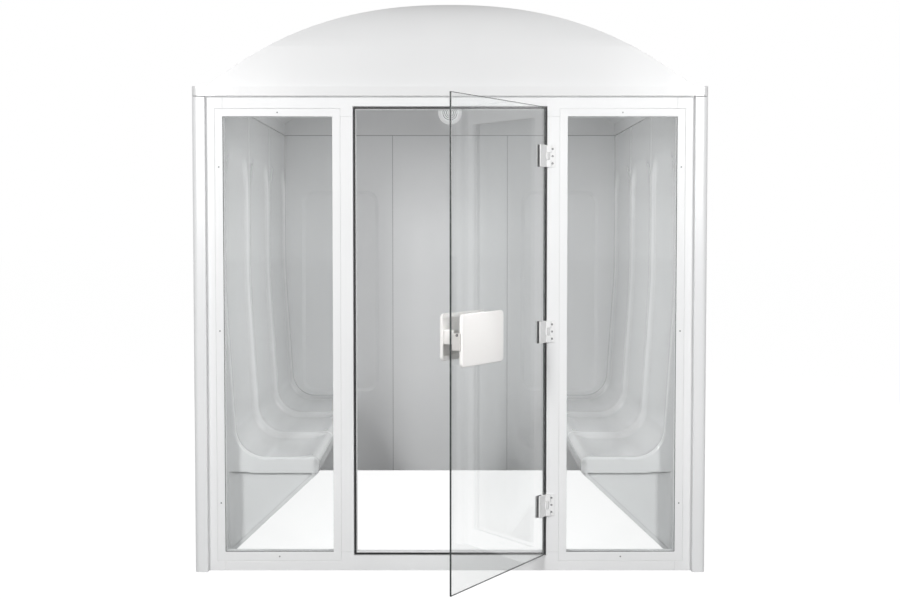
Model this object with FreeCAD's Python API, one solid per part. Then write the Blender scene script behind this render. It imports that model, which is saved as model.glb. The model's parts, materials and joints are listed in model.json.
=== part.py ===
import FreeCAD, Part
import math
import os

V = FreeCAD.Vector
os.makedirs("parts", exist_ok=True)

# Sizes in millimetres. X runs to the right, Y into the cabin, Z up; Y = 0 is the middle of the frame.

# Cabin
cabin_half_width = 1075.0
wall_build_up = 100.0
wall_height = 1996.0
skin = 5.0
overrun = 10.0
half_share = 0.5
full_turn = 360.0

# Front frame
frame_depth = 60.0
frame_wall = 4.0
post_face = 53.0
post_proud = 35.0
post_rounding = 20.0
stile_face = 37.0
mullion_face = 53.0
head_face = 46.0
sill_face = 40.0

# Windows, from the front: bead, gasket, pane, gasket, lip of the frame
bead_width = 33.0
sill_bead_width = 39.0
bead_thickness = 8.0
bead_leg = 22.0
gasket_thickness = 2.0
pane_thickness = 8.0
pane_inset = 24.0

# Doorway and door leaf
door_half_width = 407.0
door_head_drop = 37.0
door_sill_height = 64.0
stop_width = 12.0
stop_setback = 14.0
door_thickness = 8.0
door_gap = 2.5
door_flush_gap = 1.0
door_rest_angle = 60.8
door_seal_width = 8.0
door_seal_inset = 2.0
door_seal_clearance = 0.5

# Hinges
hinge_axis_inset = 3.0
hinge_axis_proud = 8.0
hinge_lift = 4.5
hinge_spacing_share = 0.388
hinge_height = 92.0
knuckle_radius = 7.0
knuckle_share = 1.0 / 3.0
knuckle_end_gap = 0.5
knuckle_clearance = 0.8
hinge_pin_radius = 3.0
hinge_pin_clearance = 0.05
jamb_leaf_reach = 31.0
jamb_leaf_thickness = 5.0
clamp_far_reach = 65.0
clamp_near_reach = 10.0
inner_clamp_near_reach = 20.0
clamp_thickness = 6.0
clamp_pad = 1.0
clamp_arm_reach = 14.0
clamp_arm_front = 4.0

# Handle
handle_width = 340.0
handle_height = 200.0
handle_centre_height = 1030.0
handle_edge_inset = 17.0
handle_plate = 12.0
handle_corner = 12.0
handle_edge_round = 4.0
handle_rim = 12.0
handle_hollow = 8.0
outer_standoff = 25.0
inner_standoff = 40.0
block_width = 34.0
block_height = 56.0
block_edge_inset = 14.0

# Side walls and benches
front_return = 129.0
module_count = 3
module_length = 799.0
lean_rise = 745.0
lean_rounding = 2500.0
seat_height = 455.0
back_lean = 50.0
seat_depth = 402.0
seat_cove = 130.0
seat_nose = 30.0
lip_height = 70.0
lip_rounding = 12.0
skirt_foot = 10.0
hollow_depth = 18.0
hollow_upper_share = 0.6
hollow_top_margin = 206.0
hollow_setback = 33.0
hollow_margin = 25.0
hollow_taper = 90.0
hollow_relief = 2.0
hollow_open = 45.0
bench_end_setback = 32.0
bench_end_rise = 235.0
bench_end_corner_inset = 70.0
bench_end_corner_round = 60.0
bench_end_lip_lap = 5.0
bench_end_front_inset = 24.0
bench_end_band = 14.0
bench_cove = 60.0

# Back wall
back_centre_share = 0.349
joint_gap = 3.0
joint_seal_inset = 3.0
joint_seal_width = 15.0
recess_joint_margin = 80.0
recess_side_margin = 91.0
recess_seat_margin = 17.0
recess_top_margin = 320.0
recess_depth = 10.0
recess_corner = 80.0
recess_slope = 24.0

# Roof
roof_seal_height = 4.0
roof_seal_inset = 40.0
roof_seal_width = 40.0
fascia_height = 40.0
vault_ledge = 60.0
vault_rise = 358.0
vault_setback = 25.0
vault_end_round = 200.0

# Light in the rear end of the roof
light_rise = 92.0
light_bezel_radius = 70.0
light_bezel_depth = 12.0
light_can_radius = 56.0
light_can_wall = 3.0
light_can_depth = 56.0
light_can_gap = 1.0
light_lens_depth = 8.0
light_lens_gap = 0.5
light_lamp_radius = 22.0
light_lamp_setback = 6.0
light_cable_radius = 5.0

# Steam inlet under the left bench
steam_height = 170.0
steam_pipe_radius = 15.0
steam_bore_radius = 10.0
steam_reach = 36.0
steam_spigot_radius = 13.2
steam_spigot = 39.0
steam_shoulder = 6.0
steam_hole_gap = 0.3
steam_head_size = 56.0
steam_head_depth = 30.0
steam_head_wall = 4.0
steam_socket = 12.0

# Positions that follow from the sizes
wall_inner = cabin_half_width - wall_build_up
seat_back = wall_inner - back_lean
seat_front = wall_inner - seat_depth
lip_bottom = seat_height - lip_height
lean_height = seat_height + lean_rise
hollow_front = seat_front + hollow_setback
hollow_top = wall_height - hollow_top_margin
bench_end_top = seat_height + bench_end_rise
bench_end_lip = lip_bottom + bench_end_lip_lap
bench_end_corner = wall_inner - bench_end_corner_inset
bench_end_front = seat_front + bench_end_front_inset
back_joint = wall_inner * back_centre_share
recess_inner = back_joint + recess_joint_margin
recess_outer = wall_inner - recess_side_margin
recess_bottom = seat_height + recess_seat_margin
recess_top = wall_height - recess_top_margin
frame_half_width = cabin_half_width - post_face
frame_front = -frame_depth * half_share
frame_back = frame_depth * half_share
post_front = frame_front - post_proud
bench_front = frame_back + front_return
bench_back = bench_front + module_count * module_length
cabin_back = bench_back + wall_build_up
cover_inner = cabin_half_width - skin
rebate_depth = bead_thickness + gasket_thickness + pane_thickness + gasket_thickness
rebate_back = frame_front + rebate_depth
window_outer = frame_half_width - stile_face
window_inner = door_half_width + mullion_face
window_bottom = sill_face
window_top = wall_height - head_face
door_head_height = wall_height - door_head_drop
lip_outer = window_outer - bead_width
lip_inner = window_inner + bead_width
lip_low = window_bottom + sill_bead_width
lip_high = window_top - bead_width
stop_half_width = door_half_width - stop_width
stop_top = door_head_height - stop_width
stop_sill = door_sill_height + stop_width
stop_face = frame_front + stop_setback
glass_front = frame_front + door_flush_gap
glass_back = glass_front + door_thickness
glass_half_width = door_half_width - door_gap
glass_bottom = door_sill_height + door_gap
glass_top = door_head_height - door_gap
hinge_x = door_half_width + hinge_axis_inset
hinge_y = frame_front - hinge_axis_proud
hinge_middle = (door_sill_height + door_head_height) * half_share + hinge_lift
hinge_spacing = (door_head_height - door_sill_height) * hinge_spacing_share
hinge_heights = [hinge_middle + k * hinge_spacing for k in (-1, 0, 1)]
roof_base = wall_height + roof_seal_height
fascia_top = roof_base + fascia_height
vault_half_chord = cabin_half_width - vault_ledge
vault_radius = (vault_half_chord ** 2 + vault_rise ** 2) / (2 * vault_rise)
vault_axis = fascia_top + vault_rise - vault_radius
lunette_inner = bench_back
light_height = fascia_top + light_rise


def slab(low, high):
    """Box between two opposite corners."""
    size = [b - a for a, b in zip(low, high)]
    return Part.makeBox(size[0], size[1], size[2], V(*low))


def rod(start, direction, radius, length):
    return Part.makeCylinder(radius, length, V(*start), V(*direction))


def mirrored(shape):
    return shape.mirror(V(0, 0, 0), V(1, 0, 0))


def fused(shapes):
    joined = shapes[0]
    for extra in shapes[1:]:
        joined = joined.fuse(extra)
    return joined.removeSplitter()


def cut_all(shape, tools):
    for tool in tools:
        shape = shape.cut(tool)
    return shape


def turn(before, corner, after):
    """Positive where a closed anticlockwise outline turns left."""
    first = (corner[0] - before[0], corner[1] - before[1])
    second = (after[0] - corner[0], after[1] - corner[1])
    return first[0] * second[1] - first[1] * second[0]


def inset(points, radii, distances):
    """Anticlockwise outline with edge k (from point k on) moved inwards by distances[k]."""
    count = len(points)
    lines = []
    for k in range(count):
        (ax, az), (bx, bz) = points[k], points[(k + 1) % count]
        length = math.hypot(bx - ax, bz - az)
        normal = ((az - bz) / length, (bx - ax) / length)
        lines.append((normal, normal[0] * ax + normal[1] * az + distances[k]))
    moved, rounds = [], []
    for k in range(count):
        (n1, c1), (n2, c2) = lines[k - 1], lines[k]
        det = n1[0] * n2[1] - n1[1] * n2[0]
        moved.append(((c1 * n2[1] - c2 * n1[1]) / det, (n1[0] * c2 - n2[0] * c1) / det))
        way = turn(points[k - 1], points[k], points[(k + 1) % count])
        shift = distances[k] if way < 0 else -distances[k]
        rounds.append(max(radii[k] + shift, 0) if radii[k] else 0)
    return moved, rounds


def outline(points, radii, place):
    """Closed wire through the points with rounded corners; place turns (a, b) into a vector."""
    count = len(points)
    starts, ends, middles = [], [], []
    for k in range(count):
        corner = V(points[k][0], points[k][1], 0)
        back = V(points[k - 1][0], points[k - 1][1], 0) - corner
        ahead = V(points[(k + 1) % count][0], points[(k + 1) % count][1], 0) - corner
        if not radii[k]:
            starts.append(corner)
            ends.append(corner)
            middles.append(None)
            continue
        half = back.getAngle(ahead) * half_share
        reach = radii[k] / math.tan(half)
        back.normalize()
        ahead.normalize()
        between = back + ahead
        between.normalize()
        starts.append(corner + back * reach)
        ends.append(corner + ahead * reach)
        middles.append(corner + between * (radii[k] / math.sin(half) - radii[k]))
    edges = []
    for k in range(count):
        if middles[k] is not None:
            edges.append(Part.Arc(*[place(p.x, p.y) for p in (starts[k], middles[k], ends[k])]).toShape())
        following = starts[(k + 1) % count]
        edges.append(Part.makeLine(place(ends[k].x, ends[k].y), place(following.x, following.y)))
    return Part.Wire(edges)


def flattened(points, radii):
    """Outline for a hidden side: each round becomes one flat that touches the middle of its arc."""
    count, corners = len(points), []
    for k in range(count):
        corner = V(points[k][0], points[k][1], 0)
        back = V(points[k - 1][0], points[k - 1][1], 0) - corner
        ahead = V(points[(k + 1) % count][0], points[(k + 1) % count][1], 0) - corner
        half = back.getAngle(ahead) * half_share
        cut = radii[k] * (1 / math.sin(half) - 1) / math.cos(half)
        ends = [corner + way.normalize() * cut for way in (back, ahead)] if radii[k] else [corner]
        corners += [(end.x, end.y) for end in ends]
    return corners, [0] * len(corners)


def section_wire(points, radii, y):
    return outline(points, radii, lambda x, z: V(x, y, z))


def prism(points, radii, y_from, y_to):
    """Outline in X and Z, drawn out along Y."""
    return Part.Face(section_wire(points, radii, y_from)).extrude(V(0, y_to - y_from, 0))


def column(points, radii, z_from, z_to):
    """Outline in X and Y, drawn out along Z."""
    wire = outline(points, radii, lambda x, y: V(x, y, z_from))
    return Part.Face(wire).extrude(V(0, 0, z_to - z_from))


def rectangle(x_from, x_to, z_from, z_to):
    return [(x_from, z_from), (x_to, z_from), (x_to, z_to), (x_from, z_to)]


# Front frame

def window_hole(low_inset, high_inset, side_inset, y_from, y_to):
    """Box over the right window, each edge moved in from the outer edge of the beads."""
    low = (window_inner + side_inset, y_from, window_bottom + low_inset)
    high = (window_outer - side_inset, y_to, window_top - high_inset)
    return slab(low, high)


def frame_cuts():
    rebate = window_hole(0, 0, 0, frame_front - overrun, rebate_back)
    door = slab((-door_half_width, frame_front - overrun, door_sill_height),
                (door_half_width, stop_face, door_head_height))
    way = slab((-stop_half_width, frame_front - overrun, stop_sill),
               (stop_half_width, frame_back + overrun, stop_top))
    return [rebate, mirrored(rebate), door, way]


def frame_bar(low, high, chamber_low, chamber_high):
    return cut_all(slab(low, high), frame_cuts() + [slab(chamber_low, chamber_high)])


def frame_head():
    return frame_bar((-lip_outer, frame_front, lip_high), (lip_outer, frame_back, wall_height),
                     (-cabin_half_width, frame_front + frame_wall, door_head_height + frame_wall),
                     (cabin_half_width, frame_back - frame_wall, wall_height - frame_wall))


def frame_sill():
    return frame_bar((-lip_outer, frame_front, 0), (lip_outer, frame_back, lip_low),
                     (-cabin_half_width, frame_front + frame_wall, frame_wall),
                     (cabin_half_width, frame_back - frame_wall, sill_face - frame_wall))


def frame_stile():
    return frame_bar((lip_outer, frame_front, 0), (frame_half_width, frame_back, wall_height),
                     (window_outer + frame_wall, frame_front + frame_wall, -overrun),
                     (frame_half_width - frame_wall, frame_back - frame_wall, wall_height + overrun))


def frame_mullion():
    return frame_bar((stop_half_width, frame_front, lip_low), (lip_inner, frame_back, lip_high),
                     (door_half_width + frame_wall, frame_front + frame_wall, -overrun),
                     (window_inner - frame_wall, frame_back - frame_wall, wall_height + overrun))


def window_beads():
    """Four L-section strips round the right window: the side strips run the full height."""
    face = window_hole(0, 0, 0, frame_front, frame_front + bead_thickness)
    leg = window_hole(0, 0, 0, frame_front + bead_thickness, rebate_back)
    opening = window_hole(sill_bead_width, bead_width, bead_width, frame_front, rebate_back)
    inside = window_hole(bead_leg, bead_leg, bead_leg, frame_front + bead_thickness, rebate_back)
    ring = fused([face.cut(opening), leg.cut(inside)])
    middle = slab((lip_inner, frame_front, 0), (lip_outer, rebate_back, wall_height))
    return ring.common(middle).Solids + ring.cut(middle).Solids


def window_glass():
    front = frame_front + bead_thickness + gasket_thickness
    return window_hole(pane_inset, pane_inset, pane_inset, front, front + pane_thickness)


def window_gaskets():
    rings = []
    for front in (frame_front + bead_thickness, rebate_back - gasket_thickness):
        back = front + gasket_thickness
        whole = window_hole(pane_inset, pane_inset, pane_inset, front, back)
        hole = window_hole(sill_bead_width, bead_width, bead_width, front, back)
        rings.append(whole.cut(hole))
    return rings + [mirrored(ring) for ring in rings]


def corner_post():
    points = [(frame_half_width, post_front), (cabin_half_width, post_front),
              (cabin_half_width, frame_back), (frame_half_width, frame_back)]
    radii = [0, post_rounding, 0, 0]
    inner = inset(points, radii, [skin] * len(points))
    tube = column(points, radii, 0, wall_height)
    return tube.cut(column(inner[0], inner[1], -overrun, wall_height + overrun))


def rear_corner_post():
    points = [(wall_inner, bench_back), (cabin_half_width, bench_back),
              (cabin_half_width, cabin_back), (wall_inner, cabin_back)]
    radii = [0, 0, post_rounding, 0]
    inner = inset(points, radii, [skin] * len(points))
    tube = column(points, radii, 0, wall_height)
    return tube.cut(column(inner[0], inner[1], -overrun, wall_height + overrun))


# Door, drawn closed and then swung to its resting angle

def swung(shape):
    turned = shape.copy()
    turned.rotate(V(hinge_x, hinge_y, 0), V(0, 0, 1), door_rest_angle)
    return turned


def block_places():
    """Middle of each pair of standoff blocks, one pair near each end of the plates."""
    free_edge = handle_edge_inset - glass_half_width
    near = free_edge + block_edge_inset + block_width * half_share
    far = free_edge + handle_width - block_edge_inset - block_width * half_share
    return near, far


def door_glass():
    return slab((-glass_half_width, glass_front, glass_bottom), (glass_half_width, glass_back, glass_top))


def handle_plate_shape(face, outwards):
    """Rounded plate with a hollow back; face is the side towards the glass, outwards is -1 or 1."""
    left = handle_edge_inset - glass_half_width
    bottom = handle_centre_height - handle_height * half_share
    points = rectangle(left, left + handle_width, bottom, bottom + handle_height)
    plate = prism(points, [handle_corner] * 4, face, face + outwards * handle_plate)
    far = face + outwards * handle_plate
    rim = [e for e in plate.Edges if all(abs(v.Y - far) < handle_edge_round for v in e.Vertexes)]
    plate = plate.makeChamfer(handle_edge_round, rim)
    inner, rounds = inset(points, [handle_corner] * 4, [handle_rim] * 4)
    return plate.cut(prism(inner, rounds, face, face + outwards * handle_hollow))


def outer_plate_face():
    return glass_front - outer_standoff


def inner_plate_face():
    return glass_back + inner_standoff


def handle_outer():
    return handle_plate_shape(outer_plate_face(), -1)


def handle_inner():
    return handle_plate_shape(inner_plate_face(), 1)


def handle_blocks():
    """Standoff blocks from the glass to the floor of each plate's hollow."""
    spans = [(outer_plate_face() - handle_hollow, glass_front),
             (glass_back, inner_plate_face() + handle_hollow)]
    low = handle_centre_height - block_height * half_share
    return [slab((x - block_width * half_share, y_from, low),
                 (x + block_width * half_share, y_to, low + block_height))
            for x in block_places() for y_from, y_to in spans]


def door_seal_strip(low, high):
    return slab((low[0], glass_back + door_seal_clearance, low[1]), (high[0], stop_face, high[1]))


def door_seal_sides():
    x_to = door_half_width - door_seal_inset
    z_from, z_to = door_sill_height + door_seal_inset, door_head_height - door_seal_inset
    strip = door_seal_strip((x_to - door_seal_width, z_from), (x_to, z_to))
    return [strip, mirrored(strip)]


def door_seal_ends():
    x_to = door_half_width - door_seal_inset - door_seal_width
    low = door_sill_height + door_seal_inset
    high = door_head_height - door_seal_inset
    return [door_seal_strip((-x_to, low), (x_to, low + door_seal_width)),
            door_seal_strip((-x_to, high - door_seal_width), (x_to, high))]


# Hinges

def knuckle_span(height):
    """Bottom and top of the middle knuckle, which belongs to the door."""
    half = hinge_height * knuckle_share * half_share
    return height - half, height + half


def hinge_jamb_leaf(height):
    """Plate on the mullion with two lugs and the pin that the door's knuckle turns on."""
    low, high = height - hinge_height * half_share, height + hinge_height * half_share
    middle_low, middle_high = knuckle_span(height)
    plate_start = hinge_x + knuckle_radius + knuckle_clearance
    plate = slab((plate_start, frame_front - jamb_leaf_thickness, low),
                 (hinge_x + jamb_leaf_reach, frame_front, high))
    pin = rod((hinge_x, hinge_y, low), (0, 0, 1), hinge_pin_radius, hinge_height)
    lugs = [slab((hinge_x - knuckle_radius, hinge_y - knuckle_radius, z_from),
                 (plate_start + jamb_leaf_thickness, hinge_y + knuckle_radius, z_to))
            for z_from, z_to in ((low, middle_low - knuckle_end_gap), (middle_high + knuckle_end_gap, high))]
    return fused([plate, pin] + lugs)


def hinge_outer_clamp(height):
    low = height - hinge_height * half_share
    middle_low, middle_high = knuckle_span(height)
    face = glass_front - clamp_pad
    plate = slab((hinge_x - clamp_far_reach, face - clamp_thickness, low),
                 (hinge_x - clamp_near_reach, face, low + hinge_height))
    arm = slab((hinge_x - clamp_arm_reach, hinge_y - clamp_arm_front, middle_low),
               (hinge_x, hinge_y + knuckle_radius, middle_high))
    axis, length = (hinge_x, hinge_y, middle_low), middle_high - middle_low
    clamp = fused([plate, arm, rod(axis, (0, 0, 1), knuckle_radius, length)])
    return clamp.cut(rod(axis, (0, 0, 1), hinge_pin_radius + hinge_pin_clearance, length))


def hinge_inner_clamp(height):
    low = height - hinge_height * half_share
    face = glass_back + clamp_pad
    return slab((hinge_x - clamp_far_reach, face, low),
                (hinge_x - inner_clamp_near_reach, face + clamp_thickness, low + hinge_height))


def hinge_pads(height):
    low = height - hinge_height * half_share
    sides = [(glass_front - clamp_pad, clamp_near_reach), (glass_back, inner_clamp_near_reach)]
    return [slab((hinge_x - clamp_far_reach, y, low), (hinge_x - reach, y + clamp_pad, low + hinge_height))
            for y, reach in sides]


# Side walls, drawn for the right-hand side and mirrored

def module_points():
    """Section through wall and bench, anticlockwise from the outer foot."""
    return [(cover_inner, 0), (cover_inner, wall_height), (wall_inner, wall_height),
            (wall_inner, lean_height), (seat_back, seat_height), (seat_front, seat_height),
            (seat_front, lip_bottom), (wall_inner, skirt_foot), (wall_inner, 0)]


def module_radii():
    return [0, 0, 0, lean_rounding, seat_cove, seat_nose, lip_rounding, 0, 0]


def hollow_wire(y, dip, extra):
    """Section of the hollow in back and seat: dip is its depth, extra moves it behind the skin."""
    reach = extra - hollow_relief
    points = [(wall_inner + reach, hollow_top), (wall_inner + extra + dip * hollow_upper_share, lean_height),
              (seat_back + extra + dip, seat_height - extra - dip), (hollow_front, seat_height - reach),
              (hollow_front, seat_height + hollow_open),
              (seat_back - hollow_open, seat_height + hollow_open),
              (wall_inner - hollow_open, lean_height), (wall_inner - hollow_open, hollow_top)]
    radii = [0, lean_rounding, seat_cove + extra + dip, 0, 0, 0, 0, 0]
    points, radii = flattened(points, radii) if extra else (points, radii)
    return section_wire(points, radii, y)


def hollow(y_from, y_to, extra):
    """Dished hollow with sloped ends; extra sets it back for the hidden side of the skin."""
    first, last = y_from + hollow_margin, y_to - hollow_margin
    stations = [(first, -hollow_relief), (first + hollow_taper, hollow_depth),
                (last - hollow_taper, hollow_depth), (last, -hollow_relief)]
    return Part.makeLoft([hollow_wire(y, dip, extra) for y, dip in stations], True, True)


def bench_end_outline():
    """Hole under the seat at the front, which the bench end panel fills."""
    slope = (lip_bottom - skirt_foot) / (wall_inner - seat_front)
    low = skirt_foot + bench_end_band
    front_low = low + (wall_inner - bench_end_front) * slope
    points = [(wall_inner, low), (wall_inner, bench_end_top), (bench_end_corner, bench_end_lip),
              (bench_end_front, bench_end_lip), (bench_end_front, front_low)]
    return points, [0, 0, bench_end_corner_round, 0, 0]


def skirt_section():
    """Sloped sheet under the seat, from the lip down to the foot of the wall."""
    slope = (lip_bottom - skirt_foot) / (wall_inner - seat_front)
    top_x = seat_front + skin
    top_z = lip_bottom - skin * slope
    rise = skin * math.hypot(1, slope)
    return [(top_x, top_z), (wall_inner, skirt_foot), (wall_inner, skirt_foot + rise), (top_x, top_z + rise)]


def bench_skirt():
    return prism(skirt_section(), [0] * 4, bench_front, bench_back)


def bench_module(index):
    """Shell of wall, back and seat, open behind and under the seat, with a plate at each end."""
    y_from = bench_front + index * module_length
    y_to = y_from + module_length
    points, radii = module_points(), module_radii()
    shell = prism(points, radii, y_from, y_to).cut(hollow(y_from, y_to, 0))
    distances = [-overrun] + [skin] * 5 + [-overrun] + [skin] * 2
    inner, rounds = flattened(*inset(points, radii, distances))
    room = prism(inner, rounds, y_from + skin, y_to - skin).cut(hollow(y_from, y_to, skin))
    shell = shell.cut(room).cut(bench_skirt())
    if index == 0:
        end, corner = bench_end_outline()
        shell = shell.cut(prism(end, corner, y_from - overrun, y_from + skin))
    return max(shell.Solids, key=lambda solid: solid.Volume)


def bench_end():
    """Shallow tray under the seat's front lip, with a cove against the wall."""
    points, radii = bench_end_outline()
    floor = bench_front + bench_end_setback
    inner, rounds = inset(points, radii, [skin] * len(points))
    plan = rectangle(seat_front, wall_inner - skin, floor - 2 * bench_cove, floor)
    tray = prism(points, radii, bench_front, floor + skin)
    room = prism(inner, rounds, bench_front - overrun, floor)
    return tray.cut(room.common(column(plan, [0, 0, bench_cove, 0], 0, wall_height)))


def front_return_wall():
    """Hollow box between the frame and the first bench module."""
    outer = slab((wall_inner, frame_back, 0), (cover_inner, bench_front, wall_height))
    inner = slab((wall_inner + skin, frame_back + skin, skin),
                 (cover_inner + overrun, bench_front - skin, wall_height - skin))
    return outer.cut(inner)


def outer_cover():
    return slab((cover_inner, frame_back, 0), (cabin_half_width, bench_back, wall_height))


# Back wall

def back_pan(x_from, x_to):
    outer = slab((x_from, bench_back, 0), (x_to, cabin_back - skin, wall_height))
    inner = slab((x_from + skin, bench_back + skin, skin),
                 (x_to - skin, cabin_back, wall_height - skin))
    return outer, inner


def back_recess(extra):
    """Shallow recess with sloped sides; extra deepens it for the back of the skin."""
    front, floor = bench_back + extra - hollow_relief, bench_back + extra + recess_depth
    points = rectangle(recess_inner, recess_outer, recess_bottom, recess_top)
    wide = points, [recess_corner] * 4
    narrow = inset(points, [recess_corner] * 4, [recess_slope] * 4)
    if extra:
        wide, narrow = (points, [0] * 4), (narrow[0], [0] * 4)
    return Part.makeLoft([section_wire(*wide, front), section_wire(*narrow, floor)], True, True)


def back_side_panel():
    outer, inner = back_pan(back_joint + joint_gap * half_share, wall_inner)
    return outer.cut(back_recess(0)).cut(inner.cut(back_recess(skin)))


def back_centre_panel():
    half = back_joint - joint_gap * half_share
    outer, inner = back_pan(-half, half)
    return outer.cut(inner)


def back_cover():
    return slab((-wall_inner, cabin_back - skin, 0), (wall_inner, cabin_back, wall_height))


def back_joint_seals():
    y_from = bench_back + joint_seal_inset
    strip = slab((back_joint - joint_gap * half_share, y_from, 0),
                 (back_joint + joint_gap * half_share, y_from + joint_seal_width, wall_height))
    return [strip, mirrored(strip)]


# Roof

def vault(thickness, floor):
    """Barrel along Y, kept inside a side profile whose upper corners are rounded."""
    radius, end_round = vault_radius - thickness, vault_end_round - thickness
    half, top = math.sqrt(radius ** 2 - (floor - vault_axis) ** 2), vault_axis + radius
    y_from, y_to = post_front + vault_setback + thickness, lunette_inner + skin - thickness
    left, crown, right = V(-half, y_from, floor), V(0, y_from, top), V(half, y_from, floor)
    arch = Part.Wire([Part.Arc(left, crown, right).toShape(), Part.makeLine(right, left)])
    barrel = Part.Face(arch).extrude(V(0, y_to - y_from, 0))
    side = outline(rectangle(y_from, y_to, floor, top + overrun), [0, 0, end_round, end_round],
                   lambda y, z: V(-cabin_half_width, y, z))
    return barrel.common(Part.Face(side).extrude(V(2 * cabin_half_width, 0, 0)))


def roof_dome():
    """Vault on a hollow rim; inside, its sides and rear end stand flush with the walls."""
    band = slab((-cabin_half_width, post_front, roof_base), (cabin_half_width, cabin_back, fascia_top))
    upright = [e for e in band.Edges if e.tangentAt(e.FirstParameter).z ** 2 > half_share]
    band = band.makeFillet(post_rounding, upright)
    body = fused([band, vault(0, fascia_top)])
    room = slab((skin - cabin_half_width, post_front + skin, roof_base + skin),
                (cabin_half_width - skin, cabin_back - skin, fascia_top - skin))
    sides = [e for e in room.Edges if e.tangentAt(e.FirstParameter).z ** 2 > half_share]
    room = room.makeFillet(post_rounding - skin, sides)
    front = post_front + wall_build_up
    mouth = slab((-wall_inner, front, roof_base), (wall_inner, lunette_inner, fascia_top - skin))
    liner = slab((-wall_inner - skin, front - skin, roof_base),
                 (wall_inner + skin, lunette_inner + skin, fascia_top))
    between_walls = slab((-wall_inner, post_front, roof_base),
                         (wall_inner, cabin_back, fascia_top + vault_rise))
    arch = vault(skin, fascia_top - 2 * skin).common(between_walls)
    shell = cut_all(body, [room.cut(liner), arch, mouth])
    hole = rod((0, lunette_inner, light_height), (0, 1, 0), light_can_radius + light_can_gap, skin)
    return shell.cut(hole)


def roof_seal():
    def ring(edge):
        return slab((edge - cabin_half_width, post_front + edge, wall_height),
                    (cabin_half_width - edge, cabin_back - edge, roof_base))
    return ring(roof_seal_inset).cut(ring(roof_seal_inset + roof_seal_width))


# Light: every piece is turned about one axis that points into the cabin

def turned(profile):
    """Solid of revolution from (radius, distance into the cabin from the roof's rear end) points."""
    corners = [V(r, lunette_inner - d, light_height) for r, d in profile]
    face = Part.Face(Part.makePolygon(corners + corners[:1]))
    return face.revolve(V(0, 0, light_height), V(0, 1, 0), full_turn)


def light_housing():
    """Can through the roof's rear end with a bezel on the inside and a cable hole at the back."""
    inner, back = light_can_radius - light_can_wall, -skin - light_can_depth
    return turned([(inner, light_bezel_depth), (light_bezel_radius, light_bezel_depth),
                   (light_bezel_radius, 0), (light_can_radius, 0), (light_can_radius, back),
                   (light_cable_radius, back),
                   (light_cable_radius, back + light_can_wall), (inner, back + light_can_wall)])


def light_lens():
    rim = light_can_radius - light_can_wall - light_lens_gap
    return turned([(0, 0), (rim, 0), (rim, light_lens_depth), (0, light_lens_depth)])


def light_lamp():
    back = light_can_wall - skin - light_can_depth
    return turned([(0, back), (light_lamp_radius, back), (light_lamp_radius, -light_lamp_setback),
                   (0, -light_lamp_setback)])


# Steam inlet, drawn on the right-hand side and mirrored to the left

def steam_place(x):
    """Point on the pipe's level axis, half way along the bench."""
    return x, (bench_front + bench_back) * half_share, steam_height


def steam_pipe_end():
    """Inner end of the pipe, a little way out of the sloped skirt."""
    run, rise = wall_inner - seat_front, lip_bottom - skirt_foot
    return wall_inner - (steam_height + steam_pipe_radius - skirt_foot) * run / rise - steam_reach


def steam_rod(x_from, x_to, radius):
    return rod(steam_place(x_from), (1, 0, 0), radius, x_to - x_from)


def steam_pipe():
    """Pipe through the wall, turned down outside to a spigot for the supply hose."""
    start, shoulder = steam_pipe_end(), cabin_half_width + steam_shoulder
    tip = shoulder + steam_spigot
    body = steam_rod(start, shoulder, steam_pipe_radius)
    spigot = steam_rod(shoulder, tip, steam_spigot_radius)
    return fused([body, spigot]).cut(steam_rod(start, tip, steam_bore_radius))


def steam_head():
    """Square head on the pipe's inner end, open underneath."""
    end, (_, y, z) = steam_pipe_end(), steam_place(0)
    socket = end + steam_socket
    near, far, half = socket - steam_head_depth, socket, steam_head_size * half_share
    box = slab((near, y - half, z - half), (far, y + half, z + half))
    room = slab((near + steam_head_wall, y - half + steam_head_wall, z - half),
                (end, y + half - steam_head_wall, z + half - steam_head_wall))
    return cut_all(box, [room, steam_rod(end, far, steam_pipe_radius)])


def steam_hole():
    return steam_rod(seat_front, cabin_half_width, steam_pipe_radius + steam_hole_gap)


def save(name, shapes):
    shapes = shapes if isinstance(shapes, list) else [shapes]
    whole = shapes[0] if len(shapes) == 1 else Part.makeCompound(shapes)
    whole.exportStep("parts/" + name + ".step")


def save_pair(name, shape):
    """One piece for each side, from the right-hand shape."""
    save("right_" + name, shape)
    pieces = shape if isinstance(shape, list) else [shape]
    save("left_" + name, [mirrored(piece) for piece in pieces])


save("frame_head", frame_head())
save("frame_sill", frame_sill())
save_pair("frame_stile", frame_stile())
save_pair("mullion", frame_mullion())
save_pair("window_glass", window_glass())
save_pair("window_beads", window_beads())
save("window_gaskets", window_gaskets())
save_pair("corner_post", corner_post())
save("rear_corner_posts", [rear_corner_post(), mirrored(rear_corner_post())])

save("door_glass", swung(door_glass()))
save("door_handle_outer", swung(handle_outer()))
save("door_handle_inner", swung(handle_inner()))
save("handle_blocks", [swung(block) for block in handle_blocks()])
save("door_seal_sides", door_seal_sides())
save("door_seal_ends", door_seal_ends())
save("hinge_jamb_leaves", [hinge_jamb_leaf(h) for h in hinge_heights])
save("hinge_outer_clamps", [swung(hinge_outer_clamp(h)) for h in hinge_heights])
save("hinge_inner_clamps", [swung(hinge_inner_clamp(h)) for h in hinge_heights])
save("hinge_pads", [swung(pad) for h in hinge_heights for pad in hinge_pads(h)])

save_pair("front_return", front_return_wall())
for number, place in enumerate(("front", "middle", "rear")):
    save_pair(place + "_bench", bench_module(number))
save_pair("bench_end", bench_end())
save("right_bench_skirt", bench_skirt())
save("left_bench_skirt", mirrored(bench_skirt().cut(steam_hole())))
save("right_outer_cover", outer_cover())
save("left_outer_cover", mirrored(outer_cover().cut(steam_hole())))

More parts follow.
